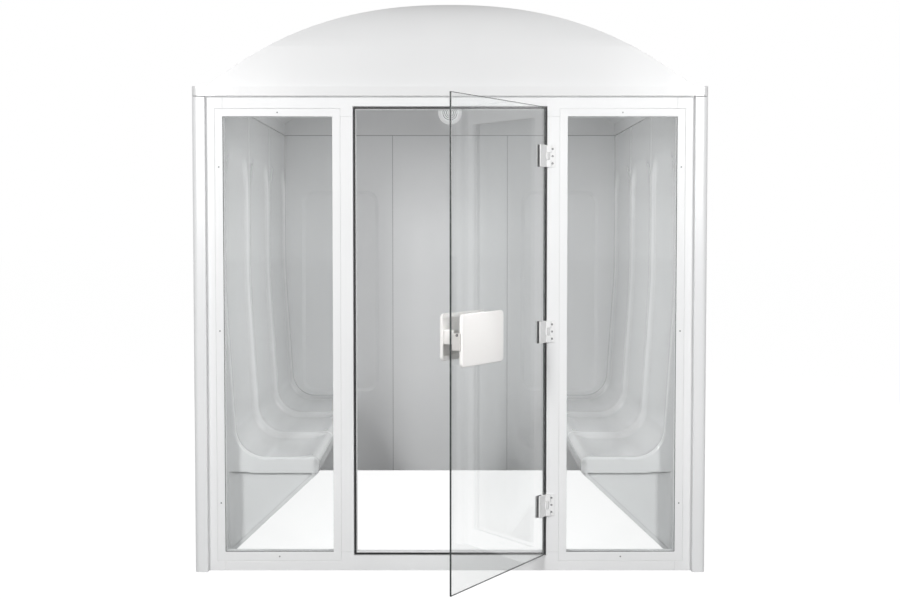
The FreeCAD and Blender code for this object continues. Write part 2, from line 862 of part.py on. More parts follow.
save_pair("back_panel", back_side_panel())
save("centre_back_panel", back_centre_panel())
save("back_outer_cover", back_cover())
save("back_joint_seals", back_joint_seals())

save("roof_dome", roof_dome())
save("roof_seal", roof_seal())
save("light_housing", light_housing())
save("light_lens", light_lens())
save("light_lamp", light_lamp())

save("steam_pipe", mirrored(steam_pipe()))
save("steam_head", mirrored(steam_head()))
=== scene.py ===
# %% [markdown]
# # A steam shower cabin
# This lesson dresses a walk-in steam cabin: a white aluminium front with two windows and a swinging
# glass door, moulded benches along both sides and a barrel roof. The construction model already holds
# every piece at its real size, so the work here is finishes, soft edges, glass, the pressed form of the
# benches and small fasteners.

# %% Load the construction model
import json
import math

import bmesh
import bpy
from mathutils import Matrix, Vector
from mathutils.geometry import tessellate_polygon


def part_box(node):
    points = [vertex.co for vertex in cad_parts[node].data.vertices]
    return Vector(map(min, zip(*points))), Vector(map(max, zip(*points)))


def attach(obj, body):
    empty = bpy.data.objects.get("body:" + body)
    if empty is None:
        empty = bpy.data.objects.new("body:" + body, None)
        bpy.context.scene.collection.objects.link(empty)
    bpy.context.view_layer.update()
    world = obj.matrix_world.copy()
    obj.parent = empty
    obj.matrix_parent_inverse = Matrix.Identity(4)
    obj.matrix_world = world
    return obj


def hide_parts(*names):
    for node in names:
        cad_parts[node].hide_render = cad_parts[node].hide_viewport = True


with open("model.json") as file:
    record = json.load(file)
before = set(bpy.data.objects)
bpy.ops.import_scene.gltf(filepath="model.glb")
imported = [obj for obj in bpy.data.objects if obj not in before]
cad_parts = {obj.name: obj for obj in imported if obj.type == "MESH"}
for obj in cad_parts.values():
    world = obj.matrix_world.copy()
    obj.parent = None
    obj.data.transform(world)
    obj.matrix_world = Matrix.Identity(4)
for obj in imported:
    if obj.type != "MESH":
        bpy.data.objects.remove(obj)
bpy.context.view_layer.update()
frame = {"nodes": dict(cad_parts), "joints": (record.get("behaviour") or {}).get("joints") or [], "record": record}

nodes = frame["nodes"]
scene = bpy.context.scene
slot_of = {part["node"]: part["material_slot"] for part in frame["record"]["subparts"]}

# %% [markdown]
# ## The camera
# The photographer stood square in front of the door, a little over six metres away, with the lens at
# chest height and tipped down slightly. A camera placed the same way gives the same perspective, which
# matters most for the benches: they run away from the viewer and show how deep the cabin is.

# %% Camera
eye_distance = 6.233
eye_height = 1.452
eye_tip = math.radians(2.80)
lens_length = 59.07

camera_data = bpy.data.cameras.new("camera")
camera_data.lens = lens_length
camera = bpy.data.objects.new("camera", camera_data)
camera.location = (0, -eye_distance, eye_height)
camera.rotation_euler = (math.pi / 2 - eye_tip, 0, 0)
scene.collection.objects.link(camera)
scene.camera = camera
scene.view_settings.view_transform = "Standard"
print("camera:", camera.location[:], "lens:", camera_data.lens)

# %% [markdown]
# ## Writing finishes as sums
# Every finish is a small tree of nodes. Clicking them together is fine for one material, but a dozen of
# them are easier to read as Python. The class below holds one output of a node: adding, subtracting or
# multiplying it makes a Math node, and its `node` method makes any other node. The tree that places the
# screws is written with it too.


# %% Sums of node values
class Wire:
    """One output of a node, which can be used in sums."""

    def __init__(self, tree, socket=None):
        self.tree, self.socket = tree, socket

    def node(self, kind, settings=None, sockets=None, output=0):
        """New node with its settings made and its inputs linked or set; gives one of its outputs."""
        made = self.tree.nodes.new(kind)
        for name, value in (settings or {}).items():
            setattr(made, name, value)
        for name, value in (sockets or {}).items():
            if isinstance(value, Wire):
                self.tree.links.new(value.socket, made.inputs[name])
            else:
                made.inputs[name].default_value = value
        return Wire(self.tree, made.outputs[output] if made.outputs else None)

    def math(self, operation, first, second):
        """Math node on two values."""
        return self.node("ShaderNodeMath", {"operation": operation}, {0: first, 1: second})

    def __add__(self, other):
        return self.math("ADD", self, other)

    def __sub__(self, other):
        return self.math("SUBTRACT", self, other)

    def __mul__(self, other):
        return self.math("MULTIPLY", self, other)

    def __pow__(self, other):
        return self.math("POWER", self, other)

    __radd__, __rmul__ = __add__, __mul__

    def blend(self, first, second):
        """Colour between two colours, with this value as the share of the second."""
        return self.node("ShaderNodeMix", {"data_type": "RGBA"}, {0: self, 6: first, 7: second}, 2)

    def either(self, first, second):
        """Shader between two shaders, with this value as the share of the second."""
        return self.node("ShaderNodeMixShader", None, {0: self, 1: first, 2: second})


def new_finish(name):
    """Empty material and the start of its tree."""
    material = bpy.data.materials.new(name)
    material.use_nodes = True
    material.node_tree.nodes.clear()
    return material, Wire(material.node_tree)


def finished(material, surface):
    """The material, with a shader linked to its output."""
    surface.node("ShaderNodeOutputMaterial", None, {"Surface": surface})
    return material


def noise(start, size, detail):
    """Value that drifts over a surface in patches of about this size in metres."""
    place = start.node("ShaderNodeTexCoord", output="Object")
    return start.node("ShaderNodeTexNoise", None, {"Vector": place, "Scale": 1 / size, "Detail": detail})


def grey(level, warmth=0.0):
    """Near-white colour; warmth above zero leans to cream, below zero to blue."""
    return (level + warmth, level, level - warmth, 1.0)


print("sums ready:", [name for name in vars(Wire) if not name.startswith("__")])

# %% [markdown]
# ## Sky and floor
# The cabin stands alone on white. An even sky gives the soft light of a studio, and a wide floor catches a
# faint shadow. Both look white to the camera but are grey as light sources and in mirrors, so that the white
# background doesn't wash out the white cabin or its glass. The floor is part glow and part plain paint: the
# glow keeps it white, and the paint keeps the shadow.

# %% Sky
sky_level = 0.36
mirror_level = 0.55


def seen_directly(start):
    """One for rays from the eye or through a pane; zero for light on its way to a surface or a mirror."""
    eye = start.node("ShaderNodeLightPath", output="Is Camera Ray")
    pane = start.node("ShaderNodeLightPath", output="Is Transmission Ray")
    return eye.math("MAXIMUM", eye, pane)


world = bpy.data.worlds.new("white_room")
world.use_nodes = True
world.node_tree.nodes.clear()
sky = Wire(world.node_tree)
in_mirror = sky.node("ShaderNodeLightPath", output="Is Glossy Ray")
strength = sky_level + seen_directly(sky) * (1.0 - sky_level) + in_mirror * (mirror_level - sky_level)
light = sky.node("ShaderNodeBackground", None, {"Color": grey(1.0), "Strength": strength})
sky.node("ShaderNodeOutputWorld", None, {"Surface": light})
scene.world = world
print("sky:", sky_level, "and in mirrors:", mirror_level)

# %% Floor
floor_bounce = 0.36
floor_glow = 0.94
floor_paint = 0.16
floor_reach = 60.0

floor_finish, start = new_finish("studio_floor")
painted = start.node("ShaderNodeBsdfDiffuse", None, {"Color": grey(floor_paint)})
glow = start.node("ShaderNodeEmission", None, {"Color": grey(1.0), "Strength": floor_glow})
shown = start.node("ShaderNodeAddShader", None, {0: painted, 1: glow})
bounced = start.node("ShaderNodeBsdfDiffuse", None, {"Color": grey(floor_bounce)})
finished(floor_finish, seen_directly(start).either(bounced, shown))

floor_mesh = bpy.data.meshes.new("studio_floor")
floor_corners = [(x * floor_reach, y * floor_reach, 0) for x, y in ((-1, -1), (1, -1), (1, 1), (-1, 1))]
floor_mesh.from_pydata(floor_corners, [], [(0, 1, 2, 3)])
floor_mesh.materials.append(floor_finish)
floor = bpy.data.objects.new("studio_floor", floor_mesh)
scene.collection.objects.link(floor)
print("floor:", 2 * floor_reach, "m wide")

# %% [markdown]
# ## Lamps
# A wide soft lamp in front, at roof height, lights the front frame from the head down. Two tall, narrow lamps
# at the sides do most of the work: they reach the benches through the windows, and the frame's shadow draws
# the upright boundary on the benches' front ends. Weak lamps inside fill the cabin, and a small one with a
# narrow beam picks out the handle. Lamps above, beside and behind light what the front view doesn't show. The
# camera sees none of them, and only the two narrow ones shine in glossy faces.

# %% Lamps
lamps = {
    "front_softbox": {"place": (0, -4.0, 2.5), "size": (5.0, 1.6), "power": 16.0, "aim": (0, 0, 1.35)},
    "left_softbox": {"place": (-1.83, -4.3, 2.2), "size": (0.35, 1.0), "power": 74.0, "aim": (0, 0.4, 1.1),
                     "mirrored": True},
    "right_softbox": {"place": (1.83, -4.3, 2.2), "size": (0.35, 1.0), "power": 68.0, "aim": (0, 0.4, 1.1),
                      "mirrored": True},
    "doorway_fill": {"place": (0, 0.12, 1.15), "size": (0.7, 1.6), "power": 2.4, "aim": (0, 2.6, 1.15)},
    "left_fill": {"place": (-0.05, 0.85, 1.15), "size": (1.2, 1.5), "power": 5.4, "aim": (-1, 0.85, 1.0)},
    "right_fill": {"place": (0.05, 0.85, 1.15), "size": (1.2, 1.5), "power": 5.4, "aim": (1, 0.85, 1.0)},
    "roof_fill": {"place": (0, 1.3, 1.7), "size": (1.0, 1.6), "power": 0.9, "aim": (0, 1.3, 3.0)},
    "handle_spot": {"place": (0.75, -1.05, 2.1), "size": (0.3, 0.3), "power": 0.25,
                    "aim": (0.15, -0.65, 1.05), "spread": 30},
    "top_softbox": {"place": (0, 1.3, 5.6), "size": (3.0, 3.0), "power": 12.0, "aim": (0, 1.3, 2.0)},
    "left_side_softbox": {"place": (-4.8, 1.4, 1.5), "size": (2.0, 2.0), "power": 28.0,
                          "aim": (-1.0, 1.2, 1.0)},
    "right_side_softbox": {"place": (4.8, 1.4, 1.5), "size": (2.0, 2.0), "power": 28.0,
                           "aim": (1.0, 1.2, 1.0)},
    "left_rear_softbox": {"place": (-4.6, 4.6, 1.7), "size": (2.5, 2.5), "power": 70.0,
                          "aim": (-0.5, 2.0, 1.0)},
    "right_rear_softbox": {"place": (4.6, 4.6, 1.7), "size": (2.5, 2.5), "power": 50.0,
                           "aim": (0.5, 2.0, 1.0)},
}


def soft_lamp(name, place, size, power, aim, spread=180, mirrored=False):
    """Rectangular lamp that isn't seen; spread narrows its beam in degrees, mirrored lets gloss show it."""
    data = bpy.data.lights.new(name, "AREA")
    data.shape, data.energy, data.spread = "RECTANGLE", power, math.radians(spread)
    data.size, data.size_y = size
    lamp = bpy.data.objects.new(name, data)
    lamp.location = place
    lamp.rotation_euler = (Vector(aim) - lamp.location).to_track_quat("-Z", "Y").to_euler()
    lamp.visible_camera, lamp.visible_glossy = False, mirrored
    scene.collection.objects.link(lamp)


for name, settings in lamps.items():
    soft_lamp(name, **settings)
print("lamps:", {name: settings["power"] for name, settings in lamps.items()})

# %% [markdown]
# ## White finishes
# Nearly everything here is white, so the finishes differ in how they shine. Powder coat has a fine
# orange-peel texture, pressed acrylic is glossy with slow waves from the mould, and the handle is a warm
# satin plastic; its outer blocks are greyer, which is painted shade for the plate's shadow on them. One
# recipe covers them: a base colour with faint clouds, a fine grain and a slow wave, and on the bezel round
# the lens a glow, which is painted light.

# %% Recipe for white finishes
cloud_size, cloud_detail = 0.45, 3.0
cloud_from, cloud_to = 0.35, 0.7
grain_detail, wave_detail = 2.0, 1.0
grain_strength, wave_strength = 0.5, 0.6
grain_shine, cloud_shine = 0.12, 0.06
coat_rough = 0.06


def white_finish(name, colour, shade, rough, grain, wave, gloss=0.0, glow=0.0):
    """White surface; shade is the dark of its clouds, grain and wave have a size and a depth in metres; glow is
    painted light.
    """
    material, start = new_finish(name)
    clouds = noise(start, cloud_size, cloud_detail)
    fine, slow = noise(start, grain[0], grain_detail), noise(start, wave[0], wave_detail)
    share = start.node("ShaderNodeMapRange", None,
                       {"Value": clouds, "From Min": cloud_from, "From Max": cloud_to})
    waves = start.node("ShaderNodeBump", None,
                       {"Height": slow, "Distance": wave[1], "Strength": wave_strength})
    bumps = start.node("ShaderNodeBump", None,
                       {"Height": fine, "Distance": grain[1], "Strength": grain_strength, "Normal": waves})
    return finished(material, start.node("ShaderNodeBsdfPrincipled", None, {
        "Base Color": share.blend(colour, shade),
        "Roughness": rough + (fine - 0.5) * grain_shine + clouds * cloud_shine,
        "Normal": bumps, "Coat Weight": gloss, "Coat Roughness": coat_rough,
        "Emission Color": grey(1.0), "Emission Strength": glow}))


print("recipe for white finishes ready, clouds of", cloud_size, "m")

# %% White finishes
finish_of = {
    "frame_white": white_finish("powder_coat", grey(0.905, -0.003), grey(0.885, -0.004), 0.34,
                                grain=(0.0016, 0.00015), wave=(0.4, 0.0002)),
    "shell_white": white_finish("shell_sheet", grey(0.89, -0.005), grey(0.865, -0.006), 0.28,
                                grain=(0.004, 0.00005), wave=(0.5, 0.0015)),
    "acrylic_white": white_finish("pressed_acrylic", grey(0.87, -0.004), grey(0.845, -0.005), 0.16,
                                  grain=(0.02, 0.0001), wave=(0.22, 0.0012), gloss=0.8),
    "roof_white": white_finish("roof_acrylic", grey(0.82, -0.002), grey(0.80, -0.003), 0.3,
                               grain=(0.01, 0.0001), wave=(0.6, 0.002), gloss=0.15),
    "handle_white": white_finish("handle_plastic", grey(0.925, 0.016), grey(0.905, 0.018), 0.36,
                                 grain=(0.0009, 0.0001), wave=(0.08, 0.0001)),
    "hinge_white": white_finish("hinge_enamel", grey(0.90), grey(0.88), 0.26,
                                grain=(0.0012, 0.00008), wave=(0.05, 0.0001)),
    "fitting_white": white_finish("light_can", grey(0.86), grey(0.84), 0.25,
                                  grain=(0.001, 0.00005), wave=(0.05, 0.0001), gloss=0.2),
}
# The bezel's glow is painted light: it brightens the ring's room side, which lies in the shade of the vault.
bezel_painted_glow = white_finish("light_bezel_painted_glow", grey(0.92, -0.004), grey(0.90, -0.004), 0.2,
                         grain=(0.001, 0.00005), wave=(0.05, 0.0001), gloss=0.3, glow=0.22)
# The handle's outer blocks are greyer than the plates: painted shade, for the outer plate's shadow on them.
block_painted_shade = white_finish("handle_block", grey(0.64, 0.018), grey(0.62, 0.02), 0.36,
                          grain=(0.0009, 0.0001), wave=(0.08, 0.0001))
print("white finishes:", sorted(finish_of))

# %% [markdown]
# ## Glass
# The panes are thin and clear, so bending the light through them would only cost time. A see-through
# shader with a light tint gives the view, and a mirror gives the shine: about three percent of the light
# looking straight on, rising steeply towards grazing angles. The door stands open, so it mirrors the
# frame of the window beside it. The edges of the leaf are ground, and the thick glass looks dark there;
# that dark is painted shade, a near-black colour on the edge faces.

# %% Glass finishes
film_size, film_detail = 1 / 3, 2.0
mirror_rough, film_shine = 0.008, 0.012
grazing_power = 4
milk_rough, milk_shine = 0.25, 0.1
streak_size, streak_detail = 1 / 90, 4.0
edge_rough, streak_shine = 0.16, 0.2


def sheet_glass(name, tint, mirror_straight, frost=0.0, glow=0.0):
    """Thin glass: see-through with a mirror that strengthens at grazing angles; frost makes it milky, glow paints
    light.
    """
    material, start = new_finish(name)
    facing = start.node("ShaderNodeLayerWeight", None, {"Blend": 0.5}, "Facing")
    film = noise(start, film_size, film_detail)
    through = start.node("ShaderNodeBsdfTransparent", None, {"Color": tint})
    mirror = start.node("ShaderNodeBsdfGlossy", None,
                        {"Color": grey(1.0), "Roughness": mirror_rough + film * film_shine})
    pane = (mirror_straight + (1 - mirror_straight) * facing ** grazing_power).either(through, mirror)
    if frost:
        milk = start.node("ShaderNodeBsdfPrincipled", None, {
            "Base Color": grey(0.93, -0.006), "Roughness": milk_rough + film * milk_shine,
            "Emission Color": grey(1.0), "Emission Strength": glow})
        pane = start.node("ShaderNodeMixShader", None, {0: frost, 1: pane, 2: milk})
    return finished(material, pane)


def ground_glass_edge():
    """Edge of the thick door leaf, nearly black as painted shade for its look edge-on, with paler streaks from the
    grinding.
    """
    material, start = new_finish("glass_edge_painted_shade")
    streaks = noise(start, streak_size, streak_detail)
    return finished(material, start.node("ShaderNodeBsdfPrincipled", None, {
        "Base Color": streaks.blend((0.032, 0.036, 0.036, 1), (0.085, 0.095, 0.093, 1)),
        "Roughness": edge_rough + streaks * streak_shine}))


finish_of["clear_glass"] = sheet_glass("clear_glass", (0.984, 0.989, 0.988, 1), 0.03)
# The lens glows though no bulb is lit behind it: painted light.
finish_of["lens_glass"] = sheet_glass("lens_glass", (0.90, 0.94, 0.93, 1), 0.06, frost=0.75, glow=0.34)
glass_edge_painted_shade = ground_glass_edge()
print("glass:", finish_of["clear_glass"].name, finish_of["lens_glass"].name, glass_edge_painted_shade.name)

# %% [markdown]
# ## Rubber, brass, steel and the bulb
# The door shuts against a black rubber profile, which draws the thin dark line round the doorway, while the
# joints of the roof and of the back wall are filled with grey sealant. The steam pipe under the left bench
# is plain brass, dulled in patches. The screws are blackened steel, and the bulb behind the ribbed glass is
# frosted. Each has its own noise, so no two patches shine alike.

# %% Dark and metal finishes
patch_detail, patch_depth, patch_strength = 5.0, 0.0001, 0.4


def worn_finish(name, colour, shade, patch_size, rough, rough_spread, metal=0.0):
    """Plain finish whose colour and shine drift in patches of the given size in metres."""
    material, start = new_finish(name)
    patches = noise(start, patch_size, patch_detail)
    bump = start.node("ShaderNodeBump", None,
                      {"Height": patches, "Distance": patch_depth, "Strength": patch_strength})
    return finished(material, start.node("ShaderNodeBsdfPrincipled", None, {
        "Base Color": patches.blend(colour, shade), "Metallic": metal,
        "Roughness": rough + patches * rough_spread, "Normal": bump}))


finish_of["seal"] = worn_finish("black_rubber", (0.012, 0.012, 0.013, 1), (0.03, 0.03, 0.032, 1),
                                0.01, 0.42, 0.2)
finish_of["pipe_brass"] = worn_finish("dull_brass", (0.62, 0.43, 0.16, 1), (0.42, 0.29, 0.13, 1),
                                      0.015, 0.2, 0.25, metal=1.0)
finish_of["lamp_glass"] = worn_finish("frosted_bulb", (0.93, 0.90, 0.83, 1), (0.86, 0.84, 0.79, 1),
                                      0.02, 0.35, 0.1)
screw_steel = worn_finish("blackened_steel", (0.030, 0.030, 0.033, 1), (0.075, 0.075, 0.08, 1),
                          0.004, 0.35, 0.2)
grey_seal = worn_finish("grey_sealant", (0.36, 0.36, 0.362, 1), (0.44, 0.44, 0.442, 1), 0.012, 0.5, 0.2)
# The lens's grooves are dark grey-green: painted shade for the dark arcs that the ribbed glass shows.
lens_groove_painted_shade = worn_finish("lens_groove_painted_shade", (0.16, 0.18, 0.175, 1), (0.24, 0.26, 0.255, 1), 0.006, 0.2, 0.1)
print("slots with a finish:", len(finish_of))

# %% [markdown]
# ## Dressing the construction pieces
# Most pieces keep their construction shape and only take a finish. Extruded and machined pieces also get
# a small rounded edge: no real edge is perfectly sharp, and the soft edge catches light and draws the fine
# line where two profiles meet. The triangles of a construction piece are loose, so a Weld comes first.

# %% Finishes and soft edges
edge_round = {"frame_white": 0.0020, "hinge_white": 0.0010, "handle_white": 0.0020,
              "fitting_white": 0.0015, "seal": 0.0006}
edge_parts = 2
edge_angle = math.radians(40)
weld_reach = 0.00002


def soften(node, width):
    """Rounded edges on a construction piece, made by modifiers alone."""
    weld = node.modifiers.new("join_triangles", "WELD")
    weld.merge_threshold = weld_reach
    bevel = node.modifiers.new("soft_edges", "BEVEL")
    bevel.width, bevel.segments = width, edge_parts
    bevel.limit_method, bevel.angle_limit = "ANGLE", edge_angle
    bevel.harden_normals = True


for name, node in nodes.items():
    slot = slot_of[name]
    node.data.materials.clear()
    node.data.materials.append(finish_of[slot])
    if slot in edge_round:
        soften(node, edge_round[slot])
print("softened:", sum(1 for node in nodes.values() if node.modifiers))

# %% [markdown]
# ## Making pieces
# Some pieces need a fuller shape than the construction model gives them. A piece is a mesh of points and
# faces written in its final place, so its object stays at the origin. It rides on a body, takes the finishes
# it is given and may stand for construction pieces, which are then hidden. Most pieces here are shells drawn
# through rings of points, so two helpers join the rings and close the ends.

# %% A new piece
smooth_limit = math.radians(35)
same_point = 1e-6


def new_piece(name, mesh, finishes, body, stands_for=()):
    """Object for a finished mesh, with smooth shading broken at sharp edges."""
    for finish in finishes:
        mesh.materials.append(finish)
    mesh.polygons.foreach_set("use_smooth", [True] * len(mesh.polygons))
    mesh.set_sharp_from_angle(angle=smooth_limit)
    piece = bpy.data.objects.new(name, mesh)
    scene.collection.objects.link(piece)
    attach(piece, body)
    if stands_for:
        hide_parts(*stands_for)
    return piece


def closed_mesh(name, points, faces):
    """Mesh of a closed shell, with doubles merged and faces turned outwards."""
    mesh = bpy.data.meshes.new(name)
    mesh.from_pydata(points, [], faces)
    form = bmesh.new()
    form.from_mesh(mesh)
    bmesh.ops.remove_doubles(form, verts=form.verts, dist=same_point)
    bmesh.ops.recalc_face_normals(form, faces=form.faces)
    form.to_mesh(mesh)
    form.free()
    return mesh


def ring_faces(rings, count):
    """Faces that join each ring of points to the next; every ring has the same count."""
    return [(a * count + k, a * count + (k + 1) % count,
             (a + 1) * count + (k + 1) % count, (a + 1) * count + k)
            for a in range(rings - 1) for k in range(count)]


def shell_of_rings(name, rings):
    """Closed mesh through rings of equal count, with a flat cap on the first and the last."""
    count = len(rings[0])
    points = [point for ring in rings for point in ring]
    caps = [tuple(range(count)), tuple(range(len(points) - count, len(points)))]
    return closed_mesh(name, points, ring_faces(len(rings), count) + caps)


print("piece makers ready")

# %% [markdown]
# ## Sealed joints
# The rubber strips under the roof and between the back panels lie deep in their joints, and a bead of grey
# sealant closes each joint's mouth. A bead alone would be a hair-thin line to model, so one piece stands for
# strip and bead together: the strip's own shape, widened until it ends just behind the visible faces.

# %% Sealant
sealant_depth = 0.0015
wall_face = 0.975
front_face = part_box("frame_head")[1].y
back_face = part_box("centre_back_panel")[0].y


def roof_sealant():
    """Flat frame between walls and roof, from just behind the inner faces to just behind the outer ones."""
    low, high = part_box("roof_seal")
    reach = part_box("roof_dome")[1].x - high.x - sealant_depth
    head_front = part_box("frame_head")[0].y + sealant_depth
    outer = [(low.x - reach, head_front), (high.x + reach, head_front),
             (high.x + reach, high.y + reach), (low.x - reach, high.y + reach)]
    side, front, back = wall_face + sealant_depth, front_face - sealant_depth, back_face + sealant_depth
    inner = [(-side, front), (side, front), (side, back), (-side, back)]
    loops = ((outer, low.z), (outer, high.z), (inner, high.z), (inner, low.z), (outer, low.z))
    points = [(x, y, z) for loop, z in loops for x, y in loop]
    mesh = closed_mesh("roof_sealant", points, ring_faces(len(loops), len(outer)))
    middle = (low + high) / 2
    for face in mesh.polygons:
        outside = (face.center - middle).dot(face.normal) > sealant_depth and not face.normal.z
        face.material_index = 1 if outside else 0
    return mesh


def back_sealant():
    """Strips between the back panels, with their front faces drawn forward."""
    mesh = nodes["back_joint_seals"].data.copy()
    low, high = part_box("back_joint_seals")
    for vertex in mesh.vertices:
        if vertex.co.y < (low.y + high.y) / 2:
            vertex.co.y = back_face + sealant_depth
    mesh.materials.clear()
    return mesh


sealants = [
    new_piece("roof_sealant", roof_sealant(), [grey_seal, finish_of["shell_white"]],
              "cabin", ["roof_seal"]),
    new_piece("back_sealant", back_sealant(), [grey_seal], "cabin", ["back_joint_seals"])]
print("sealed joints:", [piece.name for piece in sealants])

# %% [markdown]
# ## The benches
# Each side has three pressed acrylic modules that are wall, backrest and seat in one sheet. Pressing gives
# the sheet wide coves, a rounded nose and a dished hollow with soft sides for each sitter. The construction
# model has the same form with creased edges. Here the sheet is drawn as a grid: one direction follows the
# section from the wall's top down to the lip, the other runs along the cabin, and each point sinks by the
# depth of the hollow at that place. The section comes first, as a line whose corners are rounded.

# %% Section of a bench
seat_level = 0.455
seat_back_edge = 0.925
seat_front_edge = 0.573
lip_foot = 0.385
lip_return = 0.008
lean_level = 1.200
skirt_foot = 0.010
sheet_thickness = 0.005
top_radius, lean_radius, cove_radius, nose_radius, foot_radius = 0.004, 2.5, 0.130, 0.030, 0.012
straight_step, turn_step = 0.016, math.radians(6)

bench_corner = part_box("right_front_bench")[1]
skirt_run, skirt_drop = wall_face - seat_front_edge, lip_foot - skirt_foot
section_corners = [
    (bench_corner.x, bench_corner.z, 0), (wall_face, bench_corner.z, top_radius),
    (wall_face, lean_level, lean_radius), (seat_back_edge, seat_level, cove_radius),
    (seat_front_edge, seat_level, nose_radius), (seat_front_edge, lip_foot, foot_radius),
    (seat_front_edge + lip_return * skirt_run / skirt_drop, lip_foot - lip_return, 0)]


def fill_straight(path, end):
    """Adds evenly spaced points from the path's last point to the end."""
    start, count = path[-1], max(1, math.ceil((end - path[-1]).length / straight_step))
    path.extend(start.lerp(end, k / count) for k in range(1, count + 1))


def rounded_path(corners):
    """Points along a line with rounded corners given as x, z and radius."""
    path = [Vector(corners[0][:2])]
    for k in range(1, len(corners) - 1):
        before, corner, after = (Vector(c[:2]) for c in corners[k - 1:k + 2])
        way_in, way_out = (corner - before).normalized(), (after - corner).normalized()
        turn = way_in.angle_signed(way_out)
        reach = corners[k][2] * math.tan(abs(turn) / 2)
        first = corner - way_in * reach
        fill_straight(path, first)
        centre = first + Vector((-way_in.y, way_in.x)) * corners[k][2] * (-1 if turn > 0 else 1)
        steps = max(2, math.ceil(abs(turn) / turn_step))
        for step in range(1, steps + 1):
            path.append(centre + Matrix.Rotation(-turn * step / steps, 2) @ (first - centre))
    fill_straight(path, Vector(corners[-1][:2]))
    return path


section = rounded_path(section_corners)
section_run = [0.0]
for before, after in zip(section, section[1:]):
    section_run.append(section_run[-1] + (after - before).length)
print("bench section:", len(section), "points,", round(section_run[-1], 3), "m")

# %% [markdown]
# ## The hollows
# A sitter's hollow starts high on the wall, follows the lean and the cove and ends short of the lip. Its
# depth at a place comes from the distance to its rounded outline: the sides curve down softly, and the floor
# is even and a little deeper at the seat than at the shoulders. Sculpting could make such a form too, but a
# formula gives all six modules the same one.

# %% Hollow of a bench
hollow_depth = 0.018
hollow_upper_share = 0.6
hollow_margin = 0.025
hollow_side = 0.090
hollow_top_level = 1.790
hollow_front_edge = 0.606
hollow_top_round = 0.170
hollow_front_round = 0.070
ridge_round = 0.007


def run_to(test):
    """Distance along the section to its first point that passes the test."""
    return next(run for run, point in zip(section_run, section) if test(point))


hollow_start = run_to(lambda point: point.y < hollow_top_level and point.x < wall_face + sheet_thickness)
hollow_lean = run_to(lambda point: point.y < lean_level)
hollow_seat = run_to(lambda point: point.y < seat_level + sheet_thickness)
hollow_end = run_to(lambda point: point.x < hollow_front_edge)


def hollow_at(run, along, length):
    """Depth of the hollow at a place on the sheet of a module of the given length."""
    middle = Vector(((hollow_start + hollow_end) / 2, length / 2))
    half = Vector(((hollow_end - hollow_start) / 2, length / 2 - hollow_margin))
    corner = hollow_top_round if run < middle.x else hollow_front_round
    off = Vector((abs(run - middle.x), abs(along - middle.y))) - half + Vector((corner, corner))
    outside = Vector((max(off.x, 0), max(off.y, 0))).length + min(max(off.x, off.y), 0) - corner
    inside = (-outside + math.hypot(outside, ridge_round)) / 2
    slope = min(inside / hollow_side, 1)
    low = min(max((run - hollow_lean) / (hollow_seat - hollow_lean), 0), 1)
    depth = hollow_depth * (hollow_upper_share + (1 - hollow_upper_share) * low)
    return depth * (1 - (1 - slope) ** 2)


print("hollow from", round(hollow_start, 3), "to", round(hollow_end, 3), "m along the section")

# %% [markdown]
# ## The front ends of the benches
# At the front of the cabin the sheet turns round a soft corner and closes the end of the bench with a flat
# plate. Under the seat the plate has an opening for the tray that hides the hollow. The rolled edge is
# narrow along the backrest and wider at the corner of the lip, where knees pass. The plate's outline is one
# closed loop: down the rolled edge, along the sloped skirt, and back up round the opening.

# %% Bench ends
joint_round = 0.004
end_round = 0.012
corner_round = 0.026
foot_share = 0.75
nose_reach = 0.2
nose_start_drop, nose_end_drop = 0.001, 0.029

nose_start = run_to(lambda point: (point.y < seat_level - nose_start_drop
                                   and point.x < seat_back_edge - nose_reach))
nose_end = run_to(lambda point: point.y < seat_level - nose_end_drop)
foot_start = run_to(lambda point: point.y < lip_foot + foot_radius)


def eased(share):
    """Smooth step from zero to one."""
    share = min(max(share, 0), 1)
    return share * share * (3 - 2 * share)


def roll_at(k, at_front):
    """Radius of the rolled edge at point k of the section, widest at the corner of the lip."""
    if not at_front:
        return joint_round
    out = eased((section_run[k] - nose_start) / (nose_end - nose_start))
    back = eased((section_run[k] - nose_end) / (foot_start - nose_end))
    wide = end_round + (corner_round - end_round) * out
    return wide + (end_round * foot_share - wide) * back


print("rolled edge in millimetres:", sorted({round(roll_at(k, True) * 1000) for k in range(len(section))}))

# %% End plates
tray_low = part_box("right_bench_end")[0]
tray_lip = 0.390
lip_band = 0.018
skirt_edge = 0.002
plate_proud = 0.0004
least_turn = 1e-9


def plate_outline():
    """Rest of the plate's outline as x and z, from the foot of the lip round the tray and up the wall."""
    slope = skirt_drop / skirt_run
    low_band = tray_low.z + (wall_face - tray_low.x) * slope
    return [(seat_front_edge + lip_band, lip_foot - lip_band * slope + skirt_edge),
            (wall_face, lip_foot - skirt_drop + skirt_edge), (wall_face, tray_low.z),
            (tray_low.x, low_band), (tray_low.x, tray_lip), (wall_face, tray_lip)]


def end_plate(points, side, level):
    """Triangles of the plate in front; adds its outline to the points and starts from the first row."""
    first = next(k for k, spot in enumerate(section) if spot.y < lean_level)
    edge = list(range(first, len(section)))
    for x, z in plate_outline():
        edge.append(len(points))
        points.append((side * x, level - plate_proud, z))
    loop = [Vector((abs(points[k][0]), points[k][2], 0)) for k in edge]
    faces = []
    for triangle in tessellate_polygon([loop]):
        a, b, c = (loop[k] for k in triangle)
        turn = (b - a).cross(c - a).z
        corners = [edge[k] for k in triangle]
        if abs(turn) > least_turn:
            faces.append(tuple(corners if turn < 0 else corners[::-1]))
    return faces


print("plate outline:", [(round(x, 3), round(z, 3)) for x, z in plate_outline()])

